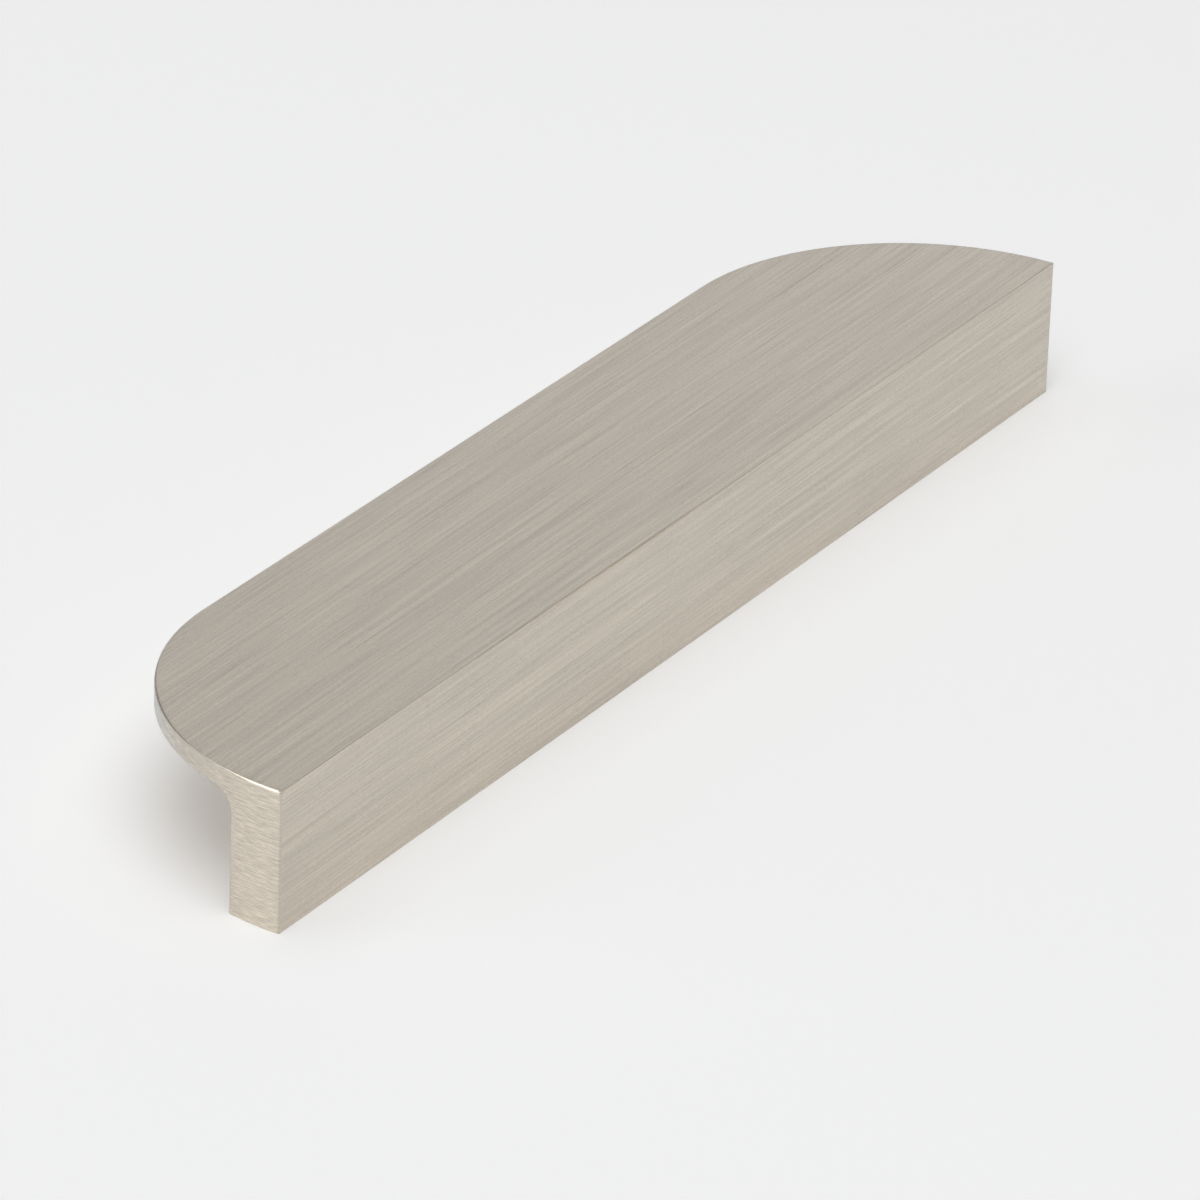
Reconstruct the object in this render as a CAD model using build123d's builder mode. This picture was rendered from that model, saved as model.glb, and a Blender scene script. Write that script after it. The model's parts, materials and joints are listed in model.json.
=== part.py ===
# Cabinet pull: one solid bar of L-section. A thick leg stands on the cabinet face and a thin flange
# reaches over it as the finger grip. Each end is cut to a quarter circle in plan.
#
# X runs along the pull, Y from the leg to the lip of the flange, and Z away from the cabinet face.
# The origin is on the cabinet face, half way between the two fixing screws.
import os
from math import radians, tan

from build123d import *

# Outline and section, in millimetres
pull_length = 195.0
pull_depth = 36.0
pull_height = 20.0
leg_thickness = 8.0
flange_thickness = 3.0
root_radius = 3.0
edge_radius = 0.2

# Blind tapped holes in the foot of the leg, for machine screws from inside the cabinet
screw_inset = 17.5  # from each end of the pull to a screw's axis, for screws 160 mm apart
thread_diameter = 4.0
tap_drill_diameter = 3.3
metal_over_hole = 8.0  # from the full-width end of a hole to the top face
drill_point_angle = 118.0
mouth_angle = 90.0
mouth_clearance = 0.1  # by which the countersink is wider than the thread, all round

# Places that follow from the sizes above
half_length = pull_length / 2
front_y = -leg_thickness / 2
inner_y = leg_thickness / 2
lip_y = front_y + pull_depth
underside_z = pull_height - flange_thickness
end_radius = pull_depth
screw_centres = pull_length - 2 * screw_inset
tap_drill_radius = tap_drill_diameter / 2
mouth_radius = thread_diameter / 2 + mouth_clearance
drill_depth = pull_height - metal_over_hole
drill_point_height = tap_drill_radius / tan(radians(drill_point_angle / 2))

with BuildPart() as pull:
    # L-section with a rounded root, run the full length
    with BuildSketch(Plane.YZ) as section:
        with BuildLine():
            Polyline(
                (front_y, 0),
                (inner_y, 0),
                (inner_y, underside_z),
                (lip_y, underside_z),
                (lip_y, pull_height),
                (front_y, pull_height),
                close=True,
            )
        make_face()
        root_corner = section.vertices().sort_by_distance((inner_y, underside_z))[0]
        fillet(root_corner, root_radius)
    extrude(amount=half_length, both=True)

    # Plan outline: the ends are struck from the front face, so they meet it squarely and run
    # smoothly into the lip, and the same cut shapes the ends of the leg
    with BuildSketch(Plane.XY) as plan:
        with BuildLine():
            front_edge = Line((-half_length, front_y), (half_length, front_y))
            right_end = JernArc(front_edge @ 1, tangent=(0, 1), radius=end_radius, arc_size=90)
            lip_edge = Line(right_end @ 1, (end_radius - half_length, lip_y))
            JernArc(lip_edge @ 1, tangent=(-1, 0), radius=end_radius, arc_size=90)
        make_face()
    extrude(amount=pull_height, mode=Mode.INTERSECT)

    # Every outer edge is broken by the same small radius, which runs round the ends, down through
    # the root and along the foot. The lines where faces already run smoothly together stay as they are.
    root_face = pull.faces().filter_by(lambda face: face.radius == root_radius)[0]
    root_lines = root_face.edges().filter_by(Axis.X)
    lip_face = pull.faces().sort_by(Axis.Y)[-1]
    lip_ends = lip_face.edges().filter_by(Axis.Z)
    fillet(pull.edges() - root_lines - lip_ends, edge_radius)

    # Tapped holes, countersunk just past the thread and ending in the point that the drill leaves
    foot_plane = Plane(origin=(0, 0, 0), x_dir=(1, 0, 0), z_dir=(0, 0, -1))
    with Locations(foot_plane):
        with GridLocations(screw_centres, 0, 2, 1):
            CounterSinkHole(tap_drill_radius, mouth_radius, drill_depth, mouth_angle)
            with Locations((0, 0, -drill_depth)):
                Cone(
                    bottom_radius=0,
                    top_radius=tap_drill_radius,
                    height=drill_point_height,
                    align=(Align.CENTER, Align.CENTER, Align.MAX),
                    mode=Mode.SUBTRACT,
                )

pull.part.label = "pull_body"
os.makedirs("parts", exist_ok=True)
export_step(pull.part, "parts/pull_body.step")
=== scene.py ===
# Cabinet pull in brushed nickel, on a plain pale floor under soft studio light.
# Everything is in metres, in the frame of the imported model: X along the pull, Y from the leg to the
# lip of the flange, Z away from the cabinet face.
import json
from math import asin, atan2, copysign, cos, hypot, pi, radians, sin, sqrt, tan
from typing import NamedTuple

import bmesh
import bpy
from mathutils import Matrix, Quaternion, Vector


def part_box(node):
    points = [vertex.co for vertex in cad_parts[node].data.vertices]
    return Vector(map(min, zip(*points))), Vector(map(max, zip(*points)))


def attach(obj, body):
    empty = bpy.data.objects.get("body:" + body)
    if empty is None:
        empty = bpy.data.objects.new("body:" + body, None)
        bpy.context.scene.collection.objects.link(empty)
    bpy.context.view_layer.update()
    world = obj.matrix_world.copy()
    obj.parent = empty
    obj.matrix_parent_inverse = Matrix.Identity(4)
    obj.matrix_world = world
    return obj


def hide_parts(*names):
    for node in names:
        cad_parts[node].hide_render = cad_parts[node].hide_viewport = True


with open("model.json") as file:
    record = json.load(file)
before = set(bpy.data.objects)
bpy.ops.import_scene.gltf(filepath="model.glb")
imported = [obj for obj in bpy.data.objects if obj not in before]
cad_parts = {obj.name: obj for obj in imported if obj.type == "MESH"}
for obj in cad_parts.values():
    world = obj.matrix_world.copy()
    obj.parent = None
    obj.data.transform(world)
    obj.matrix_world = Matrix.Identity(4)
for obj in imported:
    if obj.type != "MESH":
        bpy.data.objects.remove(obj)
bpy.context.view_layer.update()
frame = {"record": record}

mm = 0.001

# Section and edges of the pull. Its length, depth and height come from the frame.
leg_thickness = 8 * mm
flange_thickness = 3 * mm
root_radius = 3 * mm
edge_radius = 0.2 * mm

low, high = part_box("pull_body")
front_y = low.y
inner_y = low.y + leg_thickness
lip_y = high.y
top_z = high.z
underside_z = top_z - flange_thickness
half_length = high.x
end_radius = lip_y - front_y
end_centre_x = half_length - end_radius
root_y = inner_y + root_radius
root_z = underside_z - root_radius

# Mesh
arc_step = radians(1.0)
root_steps = 10
front_step = 6 * mm  # between the cross-sections of the front top edge
support_width = 0.8 * mm  # of the row of faces that each rounded edge is cut from
edge_segments = 6
round_profile = 0.5
rounded_from = radians(45)  # sharper edges than this are rounded
smooth_up_to = radians(30)  # flatter edges than this are shaded smooth
large_face_weight = 100  # how far the large faces rule the shading
places_per_metre = 1e8  # points are told apart to this fineness
just_over = 1.001  # so that points on the border of a region count as in it
bake_gap = 1 * mm  # between the strips of the baking map

# Heights of the edges that were finished by hand, as multiples of edge_radius
plain_edge = 0.55  # along the top of the front and the -X end
front_edge = 3.0  # where the front top edge is highest
front_edge_x = -18 * mm
front_edge_reach = 44 * mm
corner_edge = 3.6  # at the -X end's front top corner, falling off round the end
corner_edge_reach = radians(15)
rim_edge = 2.0  # where the -X end's top edge is high again, and as deep as it is high
rim_edge_angle = radians(48)
rim_edge_reach = radians(26)
edge_share = 0.25  # of the extra height at the front and the corner that the edge reaches into the top
foot_edge = 0.3  # at the foot of the front and the -X end
foot_corner = 1.3  # between them

# Tapped holes in the foot: M4 x 0.7, with the place and drilled size that the record gives
mounts = {mount["name"]: mount for mount in frame["record"]["mounts"]}
hole_sizes = mounts["fixing_holes"]["dims"]
hole_x = hole_sizes["spacing_x_mm"] * mm / 2
drill_radius = hole_sizes["hole_r_mm"] * mm
drill_depth = 12 * mm
drill_point_angle = radians(118)
mouth_radius = 2.1 * mm
thread_radius = 2.0 * mm
thread_pitch = 0.7 * mm
thread_flank_angle = radians(30)
thread_root_share = 1 / 8  # of the pitch, at the thread's full depth
thread_full = 9.8 * mm  # where the thread starts to run out
thread_end = 11.2 * mm
spare_turns = 2  # of the helix past each end of the hole
hole_steps = 32

# Colours, as linear reflectance
nickel_colour = (0.645, 0.577, 0.488)
# the same nickel a little darker on the ends: painted shade
shaded_end_colour = (0.625, 0.563, 0.477)
# browner tint of the rounded front top edge: a painted reflection
edge_reflection_colour = (0.665, 0.577, 0.459)
grazing_tint = (0.88, 0.94, 1.0)  # of the metal's reflections at a low angle
# The floor's glow is warm, so its shadows take the tint of light bounced off the nickel: painted bounce
# light. Its paint is cooler, so that the lit floor stays neutral.
floor_colour = (0.843, 0.865, 0.888)
glow_colour = (0.93, 0.865, 0.795)
card_colour = (0.95, 0.97, 1.0)

# Studio
floor_half_width = 6.0
floor_glow = 0.23  # as the camera and reflections see it, where 1 is white
room_level = 0.3  # likewise
lamp_distance = 4.0

# Camera, from the photograph's perspective
camera_target = Vector((4.654, 12.584, 0.0)) * mm
camera_azimuth = radians(-59.065)
camera_elevation = radians(26.478)
camera_roll = radians(2.064)
camera_distance = 1150.7 * mm
camera_lens = 257.757  # in millimetres, as the sensor is
camera_sensor = 36.0


class Lines(NamedTuple):
    """One layer of brushed lines, with sizes in millimetres. Contrast is how far they vary the shade."""

    length: float
    width: float
    contrast: float
    detail: int = 0
    tilt: float = 0.0


# Brushing along the bar, and in strokes round the ends
bar_lines = {
    "fine lines": Lines(length=60, width=0.22, contrast=0.43, detail=1, tilt=radians(0.6)),
    "broad streaks": Lines(length=85, width=0.66, contrast=0.13, tilt=radians(0.6)),
    "bands": Lines(length=180, width=2.0, contrast=0.04, tilt=radians(0.5)),
    "short flecks": Lines(length=0.5, width=0.13, contrast=0.34, detail=1, tilt=radians(0.6)),
}
dark_scratches = Lines(length=45, width=0.2, contrast=-0.08, tilt=radians(0.9))
end_lines = {
    "short strokes": Lines(length=1.9, width=0.13, contrast=1.15, detail=2),
    "strokes right across": Lines(length=7, width=0.2, contrast=0.6, detail=2),
    "flecks": Lines(length=0.4, width=0.14, contrast=0.35, detail=2),
}
bar_noise_roughness = 0.5
end_noise_roughness = 0.6
noise_middle = 0.5
scratch_noise = (0.22, 0.32)  # from the middle of a scratch to its edge

# Finish of the metal
dark_line_roughness = 0.43  # where the brushing's shade is 0
brushing_roughness = -0.1  # added where its shade is 1
anisotropy = 0.7
quarter_turn = 0.25
relief_strength = 0.25
relief_depth = 0.004 * mm
level_upright = (0.90, 0.98)  # how upright normals are, from the rounded edges to the level faces
wall_upright = (0.3, 0.8)  # and from an end's wall to its rounded edges
edge_reflection_facing = (0.1, 0.35)  # how far normals face both up and to the front, from none to all of the painted edge reflection


def plan_angle(y):
    """Angle round the end's quarter circle at depth y, from 0 at the front face to 90 degrees at the lip."""
    return asin(min(1.0, (y - front_y) / end_radius))


def evenly(start, end, step):
    """Values from start to end, both included, about a step apart."""
    count = max(1, round(abs(end - start) / step))
    return [start + (end - start) * i / count for i in range(count + 1)]


def hump(place):
    """1 at 0, falling smoothly to 0 at -1 and 1."""
    return cos(place * pi / 2) ** 2 if abs(place) < 1 else 0.0


def mirrored(place):
    """The same place on the other half of the pull."""
    return -place[0], place[1], place[2]


def on_end(angle, inset=0.0):
    """Plan place on the +X end's quarter circle, or inside it by inset."""
    radius = end_radius - inset
    return end_centre_x + radius * cos(angle), front_y + radius * sin(angle)


def end_x(y):
    """X of the +X end's surface at depth y."""
    return end_centre_x + sqrt(max(0.0, end_radius**2 - (y - front_y) ** 2))


def round_end(angles, z, inset=0.0):
    """Places at one height on the +X end's quarter circle, or inside it by inset."""
    return [(*on_end(angle, inset), z) for angle in angles]


def round_root(outset=0.0):
    """Places on the +X end along the root's arc, or outside it by outset."""
    radius = root_radius + outset
    places = []
    for angle in evenly(0, pi / 2, pi / 2 / root_steps):
        y = root_y - radius * cos(angle)
        places.append((end_x(y), y, root_z + radius * sin(angle)))
    return places


class Shell:
    """A mesh whose faces find their points by place."""

    def __init__(self):
        self.mesh = bmesh.new()
        self.made = {}

    def point(self, place):
        key = tuple(round(value * places_per_metre) for value in place)
        if key not in self.made:
            self.made[key] = self.mesh.verts.new(place)
        return self.made[key]

    def face(self, places):
        """One face, counter-clockwise from outside. Points that coincide count once."""
        corners = list(dict.fromkeys(self.point(place) for place in places))
        if len(corners) > 2:
            self.mesh.faces.new(corners)

    def both(self, places):
        """A face on the +X half and its mirror image on the -X half."""
        self.face(places)
        self.face([mirrored(place) for place in reversed(places)])

    def across(self, first, second):
        """A face from the -X half to the +X half between two places, second to the left of first as seen
        from outside with +X to the right."""
        self.face([mirrored(first), first, second, mirrored(second)])


class Outline:
    """Places along the sharp edges, on the +X half or right across, for the faces that meet there."""

    def __init__(self):
        front_reach = half_length - support_width
        self.front_top = [(x, front_y, top_z) for x in evenly(-front_reach, front_reach, front_step)]
        self.front_foot = [(x, front_y, 0) for x in (front_reach, -front_reach)]
        self.corner = [(half_length, front_y, z) for z in (0, top_z - support_width, top_z)]

        middle_angle = plan_angle(0)
        before = evenly(0, middle_angle, arc_step)
        after = evenly(middle_angle, plan_angle(inner_y - support_width), arc_step)
        self.middle = len(before) - 1  # the place in line with the holes
        self.leg_angles = before + after[1:]
        self.flange_angles = evenly(plan_angle(root_y), pi / 2, arc_step)
        start = self.leg_angles[-1]
        end = self.flange_angles[0]
        self.root_top_angles = evenly(start, end, (end - start) / root_steps)
        self.top_angles = self.leg_angles + self.root_top_angles[1:-1] + self.flange_angles

        self.foot = round_end(self.leg_angles, 0) + [(end_x(inner_y), inner_y, 0)]
        self.root = round_root()
        self.rim = round_end(self.flange_angles, underside_z)


def top_faces(shell, outline):
    """Flat top: a row of faces inside the ends and lip, and strips from end to end within it."""
    outer = round_end(outline.top_angles, top_z)
    inner = round_end(outline.top_angles, top_z, support_width)
    for i in range(len(outer) - 1):
        shell.both([outer[i], outer[i + 1], inner[i + 1], inner[i]])
    shell.face(outline.front_top + [inner[1], mirrored(inner[1])])
    for first, second in zip(inner[1:], inner[2:]):
        shell.across(first, second)
    shell.across(inner[-1], outer[-1])


def front_face(shell, outline):
    """Front, as one flat face."""
    other_corner = [mirrored(place) for place in outline.corner[::-1]]
    shell.face(outline.corner + outline.front_top[::-1] + other_corner + outline.front_foot[::-1])


def hole_point(centre_x, step, radius, z):
    """Place round the centre line of a hole."""
    angle = 2 * pi * step / hole_steps
    return centre_x + radius * cos(angle), radius * sin(angle), z


def foot_faces(shell, outline):
    """Foot in two halves that meet on the line through the holes, round the holes' mouths."""
    foot = outline.foot
    middle = outline.middle
    ahead = []
    behind = []
    half_turn = hole_steps // 2
    for centre_x in (-hole_x, hole_x):
        ahead += [hole_point(centre_x, half_turn + i, mouth_radius, 0) for i in range(half_turn + 1)]
    for centre_x in (hole_x, -hole_x):
        behind += [hole_point(centre_x, i, mouth_radius, 0) for i in range(half_turn + 1)]
    before = foot[middle::-1]
    after = foot[:middle - 1:-1]
    before += outline.front_foot + [mirrored(place) for place in foot[:middle]]
    shell.face([mirrored(foot[middle])] + ahead + before)
    shell.face([mirrored(foot[-1])] + after + behind + [mirrored(place) for place in foot[middle:-1]])


def inner_faces(shell, outline):
    """Inner face of the leg, root and underside of the flange."""
    root = outline.root
    rim = outline.rim
    shell.across(root[0], outline.foot[-1])
    for first, second in zip(root[1:-1], root):
        shell.across(first, second)
    inset_angle = asin((root_y - front_y) / (end_radius - support_width))
    inset_angles = evenly(inset_angle, pi / 2, (pi / 2 - inset_angle) / (len(rim) - 1))
    inset_rim = round_end(inset_angles, underside_z, support_width)
    last_root = [rim[0], root[-2], mirrored(root[-2])]
    shell.face([mirrored(rim[0]), mirrored(inset_rim[0]), inset_rim[0]] + last_root)
    for i in range(len(rim) - 1):
        shell.both([rim[i], inset_rim[i], inset_rim[i + 1], rim[i + 1]])
        shell.across(inset_rim[i + 1], inset_rim[i])
    shell.across(rim[-1], inset_rim[-1])


def lip_faces(shell):
    """Lip, in two strips."""
    lip = [(*on_end(pi / 2), z) for z in (underside_z, underside_z + support_width, top_z)]
    shell.across(lip[1], lip[0])
    shell.across(lip[2], lip[1])


def end_faces(shell, outline):
    """Ends: columns on the leg, a row round the inner outline, and columns above it."""
    foot = outline.foot
    root = outline.root
    rim = outline.rim
    ring = round_root(support_width)
    leg_top = round_end(outline.leg_angles, top_z)
    shell.both([foot[0], foot[1], leg_top[1], leg_top[0], outline.corner[1]])
    for i in range(1, len(leg_top) - 2):
        shell.both([foot[i], foot[i + 1], leg_top[i + 1], leg_top[i]])
    shell.both([foot[-3], foot[-2], ring[0], leg_top[-1], leg_top[-2]])
    shell.both([foot[-2], foot[-1], root[0], ring[0]])
    root_top = round_end(outline.root_top_angles, top_z)
    for i in range(root_steps):
        shell.both([root[i], root[i + 1], ring[i + 1], ring[i]])
        shell.both([ring[i], ring[i + 1], root_top[i + 1], root_top[i]])
    ring_rim = round_end(outline.flange_angles, underside_z + support_width)
    flange_top = round_end(outline.flange_angles, top_z)
    for i in range(len(rim) - 1):
        shell.both([rim[i], rim[i + 1], ring_rim[i + 1], ring_rim[i]])
        shell.both([ring_rim[i], ring_rim[i + 1], flange_top[i + 1], flange_top[i]])


def sharp_pull():
    """The pull with sharp edges and open holes."""
    shell = Shell()
    outline = Outline()
    top_faces(shell, outline)
    front_face(shell, outline)
    foot_faces(shell, outline)
    inner_faces(shell, outline)
    lip_faces(shell)
    end_faces(shell, outline)
    return shell


def tapped_hole(shell, centre_x):
    """Wall of a blind hole: countersunk mouth, right-hand thread that runs out, and the drill's point."""
    flank = (thread_radius - drill_radius) * tan(thread_flank_angle) / thread_pitch
    half_root = thread_root_share / 2
    rows = [(half_root, 1), (half_root + flank, 0), (1 - half_root - flank, 0), (1 - half_root, 1)]
    turns = range(-spare_turns, int(drill_depth / thread_pitch) + spare_turns)
    helix = [(turn + share, cut) for turn in turns for share, cut in rows]

    def wall(row, step):
        rise, cut = helix[row]
        z = min(max((rise + step / hole_steps) * thread_pitch, 0.0), drill_depth)
        fade = min(max((thread_end - z) / (thread_end - thread_full), 0.0), 1.0)
        countersink = mouth_radius - z
        radius = max(drill_radius + cut * fade * (thread_radius - drill_radius), countersink)
        return hole_point(centre_x, step, radius, z)

    for row in range(len(helix) - 1):
        for step in range(hole_steps):
            shell.face([wall(row, step), wall(row + 1, step), wall(row + 1, step + 1), wall(row, step + 1)])
    tip = (centre_x, 0.0, drill_depth + drill_radius / tan(drill_point_angle / 2))
    for step in range(hole_steps):
        edge = [hole_point(centre_x, step + i, drill_radius, drill_depth) for i in (0, 1)]
        shell.face([edge[0], tip, edge[1]])


def front_size(x):
    """Height and depth of the front top edge, as multiples of edge_radius."""
    extra = (front_edge - plain_edge) * hump((x - front_edge_x) / front_edge_reach)
    return plain_edge + extra, plain_edge + edge_share * extra


def end_size(angle):
    """Height and depth of the -X end's top edge, as multiples of edge_radius."""
    corner = (corner_edge - plain_edge) * max(0.0, 1 - angle / corner_edge_reach)
    rim = (rim_edge - plain_edge) * hump((angle - rim_edge_angle) / rim_edge_reach)
    return plain_edge + corner + rim, plain_edge + edge_share * corner + rim


def hand_broken(place):
    """A point of the rounded edges, moved so that they are as large as they were left by hand."""
    x, y, z = place
    from_top = top_z - z
    from_front = y - front_y
    rounded = edge_radius * just_over
    near_front = from_front < rounded
    out_x = -x - end_centre_x
    reach = hypot(out_x, from_front)
    angle = atan2(from_front, out_x)
    near_end = out_x > 0 and end_radius - reach < rounded
    at_foot = z < rounded
    if min(z, from_top) > rounded or not (near_front or near_end):
        return place
    if at_foot:
        height = depth = foot_corner if near_front and near_end else foot_edge
    else:
        height, depth = end_size(angle) if near_end else front_size(x)
    if near_end:
        reach = end_radius - depth * (end_radius - reach)
        x = -end_centre_x - reach * cos(angle)
        y = front_y + reach * sin(angle)
    if near_front:
        y = front_y + from_front * (plain_edge if near_end and not at_foot else depth)
    return x, y, height * z if at_foot else top_z - height * from_top


def end_place(x, y):
    """Distance from the centre line of the nearer end's quarter circle, and the angle round it."""
    out_x = abs(x) - end_centre_x
    return hypot(out_x, y - front_y), atan2(y - front_y, out_x)


def side_of(face):
    """Which strip of the baking map a face belongs to."""
    x, y, z = face.calc_center_median()
    if all(hypot(abs(v.co.x) - hole_x, v.co.y) < mouth_radius * just_over for v in face.verts):
        return "hole"
    reach, angle = end_place(x, y)
    outward = copysign(cos(angle), x), sin(angle), 0
    on_rim = abs(x) > end_centre_x and reach > end_radius - support_width
    facing = {
        "end": face.normal.dot(outward) if on_rim else -1.0,
        "top": face.normal.z,
        "front": -face.normal.y,
        "lip" if y > root_y else "inside": face.normal.y,
        "foot" if z < root_z else "inside": -face.normal.z,
    }
    return max(facing, key=facing.get)


def inside_run(y, z):
    """Length along the section from the foot up the leg's inner face, round the root and out to the lip."""
    if z <= root_z:
        return z
    if y < root_y:
        return root_z + root_radius * atan2(z - root_z, root_y - y)
    return root_z + root_radius * pi / 2 + y - root_y


def hole_turn(place, centre):
    """Angle round a hole's centre line, within half a turn of that of its face's centre."""
    x, y, z = place
    middle = atan2(centre.y, centre.x - copysign(hole_x, centre.x))
    turn = atan2(y, x - copysign(hole_x, x)) if z <= drill_depth else middle
    return middle + (turn - middle + pi) % (2 * pi) - pi


def bake_map(mesh):
    """UV map for baking. U runs the way of the brushing, so the long faces lie in strips, one above the
    other, and the ends and the holes share the last strip."""
    end_run = end_radius * pi / 2 + bake_gap
    hole_run = 2 * pi * thread_radius + bake_gap
    heights = {
        "top": lip_y - front_y,
        "inside": inside_run(lip_y, underside_z),
        "front": top_z,
        "foot": leg_thickness,
        "lip": flange_thickness,
        "end": top_z,
    }
    base = {}
    sheet_height = bake_gap
    for side, height in heights.items():
        base[side] = sheet_height
        sheet_height += height + bake_gap
    sheet_width = 2 * (half_length + bake_gap)
    across = {
        "top": lambda y, z: y - front_y,
        "inside": inside_run,
        "front": lambda y, z: z,
        "foot": lambda y, z: y - front_y,
        "lip": lambda y, z: z - underside_z,
    }
    layer = mesh.loops.layers.uv.new("OFBake")
    for face in mesh.faces:
        side = side_of(face)
        centre = face.calc_center_median()
        right = centre.x > 0
        for loop in face.loops:
            x, y, z = loop.vert.co
            if side == "hole":
                turn = hole_turn(loop.vert.co, centre)
                along = 2 * end_run + right * hole_run + (turn + pi) * thread_radius
                up = base["end"] + z
            elif side == "end":
                along = right * end_run + end_place(x, y)[1] * end_radius
                up = base["end"] + z
            else:
                along = x + half_length
                up = base[side] + across[side](y, z)
            loop[layer].uv = ((along + bake_gap) / sheet_width, up / sheet_height)


def pull_piece():
    """The finished pull: sharp form, rounded edges, hand finish, tapped holes and baking map."""
    shell = sharp_pull()
    mesh = shell.mesh
    mesh.normal_update()
    bmesh.ops.bevel(
        mesh,
        geom=[edge for edge in mesh.edges if edge.is_manifold and edge.calc_face_angle() > rounded_from],
        offset=edge_radius,
        offset_type="OFFSET",
        segments=edge_segments,
        profile=round_profile,
        affect="EDGES",
        clamp_overlap=False,
        loop_slide=True,
    )
    for vert in mesh.verts:
        vert.co = hand_broken(vert.co)
    for centre_x in (-hole_x, hole_x):
        tapped_hole(shell, centre_x)
    mesh.normal_update()
    for edge in mesh.edges:
        edge.smooth = edge.calc_face_angle(0.0) < smooth_up_to
    bake_map(mesh)
    data = bpy.data.meshes.new("brushed_pull")
    mesh.to_mesh(data)
    mesh.free()
    for face in data.polygons:
        face.use_smooth = True
    piece = bpy.data.objects.new("brushed_pull", data)
    bpy.context.scene.collection.objects.link(piece)
    weighted = piece.modifiers.new("weighted normals", "WEIGHTED_NORMAL")
    weighted.keep_sharp = True
    weighted.weight = large_face_weight
    return piece


class Nodes:
    """Short ways to add nodes to one shader tree."""

    # Numbers of the two inputs and the output that each kind of mix uses
    mix_sockets = {"FLOAT": (2, 3, 0), "VECTOR": (4, 5, 1), "RGBA": (6, 7, 2)}

    def __init__(self, tree):
        self.tree = tree

    def add(self, kind, inputs=(), **settings):
        """A node with its settings, and its inputs by name or number: values, or sockets to link."""
        node = self.tree.nodes.new(kind)
        for name, value in settings.items():
            setattr(node, name, value)
        for name, value in dict(inputs).items():
            if isinstance(value, bpy.types.NodeSocket):
                self.tree.links.new(value, node.inputs[name])
            else:
                node.inputs[name].default_value = value
        return node

    def math(self, operation, first, second=0.0, third=0.0, clamp=False):
        inputs = {0: first, 1: second, 2: third}
        return self.add("ShaderNodeMath", inputs, operation=operation, use_clamp=clamp).outputs[0]

    def vector(self, operation, first, second=(0, 0, 0)):
        return self.add("ShaderNodeVectorMath", {0: first, 1: second}, operation=operation).outputs[0]

    def steps(self, value, start, end):
        """0 below start, 1 above end, and smooth between."""
        inputs = {"Value": value, "From Min": start, "From Max": end}
        return self.add("ShaderNodeMapRange", inputs, interpolation_type="SMOOTHSTEP").outputs[0]

    def split(self, vector):
        return self.add("ShaderNodeSeparateXYZ", {0: vector}).outputs

    def join(self, x, y, z):
        return self.add("ShaderNodeCombineXYZ", {0: x, 1: y, 2: z}).outputs[0]

    def mix(self, factor, first, second, kind="FLOAT"):
        """Mix of two numbers, vectors or colours."""
        first_number, second_number, output_number = self.mix_sockets[kind]
        inputs = {0: factor, first_number: first, second_number: second}
        return self.add("ShaderNodeMix", inputs, data_type=kind).outputs[output_number]

    def vary(self, value, noise, amount):
        """A number with noise about 0 added to it."""
        return self.math("MULTIPLY_ADD", self.math("SUBTRACT", noise, noise_middle), amount, value)

    def seen(self):
        """1 for a ray from the camera, a reflection or glass, and 0 for diffuse light."""
        ray = self.add("ShaderNodeLightPath").outputs
        straight = self.math("ADD", ray["Is Camera Ray"], ray["Is Glossy Ray"])
        return self.math("ADD", straight, ray["Is Transmission Ray"], clamp=True)

    def noise(self, place, detail, roughness):
        inputs = {"Vector": place, "Scale": 1.0, "Detail": detail, "Roughness": roughness}
        return self.add("ShaderNodeTexNoise", inputs, noise_dimensions="3D").outputs[0]


def streaks(nodes, x, y, z, lines):
    """Noise drawn out along X, in lines at a slight tilt."""
    drift = nodes.math("MULTIPLY", x, tan(lines.tilt))
    across = [nodes.math("SUBTRACT", value, drift) for value in (y, z)]
    place = nodes.join(
        nodes.math("DIVIDE", x, lines.length),
        nodes.math("DIVIDE", across[0], lines.width),
        nodes.math("DIVIDE", across[1], lines.width),
    )
    return nodes.noise(place, lines.detail, bar_noise_roughness)


def strokes(nodes, arc, z, lines):
    """Noise drawn out round an end."""
    place = nodes.join(
        nodes.math("DIVIDE", arc, lines.length), 0.0, nodes.math("DIVIDE", z, lines.width)
    )
    return nodes.noise(place, lines.detail, end_noise_roughness)


def bar_brushing(nodes, x, y, z):
    """Shade of the metal brushed along the bar, about 1, with a few dark scratches."""
    shade = 1.0
    for lines in bar_lines.values():
        shade = nodes.vary(shade, streaks(nodes, x, y, z, lines), lines.contrast)
    unscratched = nodes.steps(streaks(nodes, x, y, z, dark_scratches), *scratch_noise)
    scratched = nodes.math("SUBTRACT", 1.0, unscratched)
    return nodes.math("MULTIPLY_ADD", scratched, dark_scratches.contrast, shade)


def end_brushing(nodes, arc, z):
    """Shade of the metal brushed round the ends, about 1."""
    shade = 1.0
    for lines in end_lines.values():
        shade = nodes.vary(shade, strokes(nodes, arc, z, lines), lines.contrast)
    return shade


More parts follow.
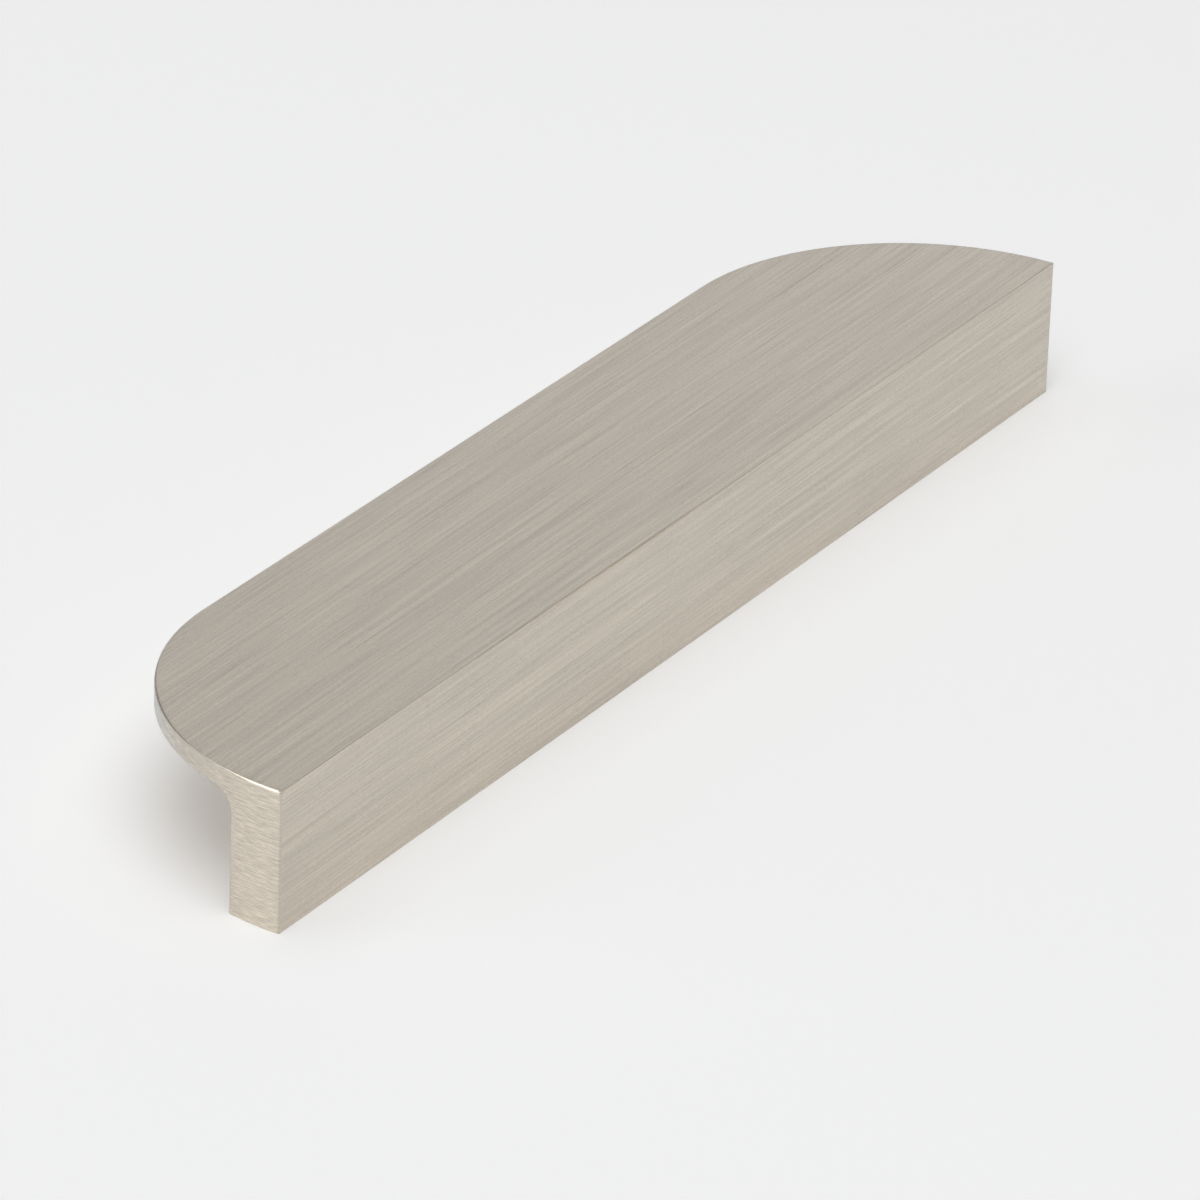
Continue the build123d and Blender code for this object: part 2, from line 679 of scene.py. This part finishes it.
def wall_place(nodes, x, y, upright):
    """Whether a point is on an end's wall, and its arc length round the end in millimetres."""
    out_x = nodes.math("SUBTRACT", nodes.math("ABSOLUTE", x), end_centre_x / mm)
    out_y = nodes.math("SUBTRACT", y, front_y / mm)
    angle = nodes.math("ARCTAN2", out_y, out_x)
    squares = [nodes.math("POWER", value, 2) for value in (out_x, out_y)]
    reach = nodes.math("SQRT", nodes.math("ADD", *squares))
    near_wall = nodes.steps(reach, (end_radius - 2 * edge_radius) / mm, (end_radius - edge_radius) / mm)
    beyond = nodes.math("GREATER_THAN", out_x, 0.0)
    steep = nodes.math("SUBTRACT", 1.0, nodes.steps(upright, *wall_upright))
    on_wall = nodes.math("MULTIPLY", nodes.math("MULTIPLY", near_wall, beyond), steep)
    return on_wall, nodes.math("MULTIPLY", angle, end_radius / mm)


def nickel():
    """Nickel brushed along the bar, and in short strokes round the cut ends."""
    material = bpy.data.materials.new("brushed_nickel")
    material.use_nodes = True
    tree = material.node_tree
    shader = tree.nodes["Principled BSDF"]
    nodes = Nodes(tree)
    place = nodes.vector("MULTIPLY", nodes.add("ShaderNodeTexCoord").outputs["Object"], (1 / mm,) * 3)
    x, y, z = nodes.split(place)
    normal_x, normal_y, normal_z = nodes.split(nodes.add("ShaderNodeNewGeometry").outputs["Normal"])
    upright = nodes.math("ABSOLUTE", normal_z)
    frontward = nodes.math("MULTIPLY", normal_y, -1.0)
    on_wall, arc = wall_place(nodes, x, y, upright)
    brushing = nodes.mix(on_wall, bar_brushing(nodes, x, y, z), end_brushing(nodes, arc, z))

    # Colour, browner along the rounded front top edge: a painted reflection
    edge_reflection = nodes.steps(nodes.math("MULTIPLY", normal_z, frontward), *edge_reflection_facing)
    colour = nodes.mix(edge_reflection, (*nickel_colour, 1), (*edge_reflection_colour, 1), "RGBA")
    # the ends take the darker copy of the nickel: painted shade
    colour = nodes.mix(on_wall, colour, (*shaded_end_colour, 1), "RGBA")
    shade = nodes.join(brushing, brushing, brushing)
    tree.links.new(nodes.vector("MULTIPLY", colour, shade), shader.inputs["Base Color"])
    shader.inputs["Metallic"].default_value = 1
    shader.inputs["Specular Tint"].default_value = (*grazing_tint, 1)

    # Gloss drawn out across the brushing, and the relief of its lines
    roughness = nodes.math("MULTIPLY_ADD", brushing, brushing_roughness, dark_line_roughness)
    tree.links.new(roughness, shader.inputs["Roughness"])
    shader.inputs["Anisotropic"].default_value = anisotropy
    shader.inputs["Anisotropic Rotation"].default_value = quarter_turn
    level = nodes.steps(upright, *level_upright)
    round_wall = nodes.join(frontward, normal_x, 0.0)
    brush_way = nodes.mix(level, round_wall, (1, 0, 0), "VECTOR")
    tree.links.new(nodes.vector("NORMALIZE", brush_way), shader.inputs["Tangent"])
    relief = {"Strength": relief_strength, "Distance": relief_depth, "Height": brushing}
    tree.links.new(nodes.add("ShaderNodeBump", relief).outputs[0], shader.inputs["Normal"])
    return material


def floor():
    """Pale floor. Seen by the camera or in a reflection, it glows a little, which lightens shadows."""
    data = bpy.data.meshes.new("floor")
    signs = ((-1, -1), (1, -1), (1, 1), (-1, 1))
    corners = [(x * floor_half_width, y * floor_half_width, 0) for x, y in signs]
    data.from_pydata(corners, [], [(0, 1, 2, 3)])
    piece = bpy.data.objects.new("floor", data)
    bpy.context.scene.collection.objects.link(piece)
    material = bpy.data.materials.new("floor")
    material.use_nodes = True
    tree = material.node_tree
    tree.nodes.remove(tree.nodes["Principled BSDF"])
    nodes = Nodes(tree)
    paint = nodes.add("ShaderNodeBsdfDiffuse", {"Color": (*floor_colour, 1)}).outputs[0]
    strength = nodes.math("MULTIPLY", nodes.seen(), floor_glow)
    glow = nodes.add("ShaderNodeEmission", {"Color": (*glow_colour, 1), "Strength": strength}).outputs[0]
    surface = nodes.add("ShaderNodeAddShader", {0: paint, 1: glow}).outputs[0]
    tree.links.new(surface, tree.nodes["Material Output"].inputs["Surface"])
    data.materials.append(material)


def camera():
    """Camera that looks at the pull from the photograph's place."""
    data = bpy.data.cameras.new("camera")
    data.lens = camera_lens
    data.sensor_width = camera_sensor
    piece = bpy.data.objects.new("camera", data)
    bpy.context.scene.collection.objects.link(piece)
    back = Vector(
        (
            sin(camera_azimuth) * cos(camera_elevation),
            -cos(camera_azimuth) * cos(camera_elevation),
            sin(camera_elevation),
        )
    )
    piece.location = camera_target + back * camera_distance
    piece.rotation_mode = "QUATERNION"
    piece.rotation_quaternion = (-back).to_track_quat("-Z", "Y") @ Quaternion((0, 0, 1), camera_roll)
    bpy.context.scene.camera = piece


def softbox(name, direction, half_angle, radiance):
    """A round soft light seen from the pull in that direction, of that half angle."""
    radius = lamp_distance * tan(half_angle)
    data = bpy.data.lights.new(name, "AREA")
    data.shape = "DISK"
    data.size = 2 * radius
    data.energy = radiance * pi * pi * radius**2  # pi times the disk's area for each unit of radiance
    lamp = bpy.data.objects.new(name, data)
    bpy.context.scene.collection.objects.link(lamp)
    towards = Vector(direction).normalized()
    lamp.location = towards * lamp_distance
    lamp.rotation_mode = "QUATERNION"
    lamp.rotation_quaternion = towards.to_track_quat("Z", "Y")
    lamp.visible_camera = False
    return lamp


def card(name, direction, half_angle, radiance):
    """A bright card that the metal reflects and that casts no light on the floor."""
    lamp = softbox(name, direction, half_angle, radiance)
    lamp.visible_diffuse = False
    lamp.data.color = card_colour


def light():
    """A pale room with soft lamps, and cards for the metal to reflect."""
    world = bpy.data.worlds.new("studio")
    bpy.context.scene.world = world
    world.use_nodes = True
    nodes = Nodes(world.node_tree)
    room = world.node_tree.nodes["Background"]
    room.inputs["Color"].default_value = (1, 1, 1, 1)
    strength = nodes.math("MULTIPLY", nodes.seen(), room_level)
    world.node_tree.links.new(strength, room.inputs["Strength"])
    overhead = softbox("overhead", direction=(0, 0, 1), half_angle=radians(35), radiance=0.81)
    overhead.visible_glossy = False  # the top would clip to white seen from above
    softbox("high back", direction=(0, 0.5, 0.87), half_angle=radians(28), radiance=0.28)
    softbox("key", direction=(-0.3, -0.25, 0.92), half_angle=radians(22), radiance=2.2)
    softbox("front left", direction=(-0.66, -0.26, 0.71), half_angle=radians(18), radiance=1.32)
    softbox("back left", direction=(-0.62, 0.72, 0.3), half_angle=radians(22), radiance=0.97)
    softbox("back right", direction=(0.77, 0.46, 0.45), half_angle=radians(16), radiance=0.47)
    softbox("right", direction=(0.9, 0.0, 0.43), half_angle=radians(24), radiance=0.2)
    card("left card", direction=(-0.83, 0.5, 0.16), half_angle=radians(17), radiance=2.7)
    card("high back card", direction=(0.3, 0.48, 0.82), half_angle=radians(20), radiance=0.4)
    card("front card", direction=(0.0, -0.93, 0.37), half_angle=radians(20), radiance=0.25)
    card("front right card", direction=(0.68, -0.63, 0.37), half_angle=radians(20), radiance=0.25)


bpy.context.scene.view_settings.view_transform = "Standard"
camera()
light()
floor()
pull = pull_piece()
pull.data.materials.append(nickel())
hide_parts("pull_body")
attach(pull, "root")
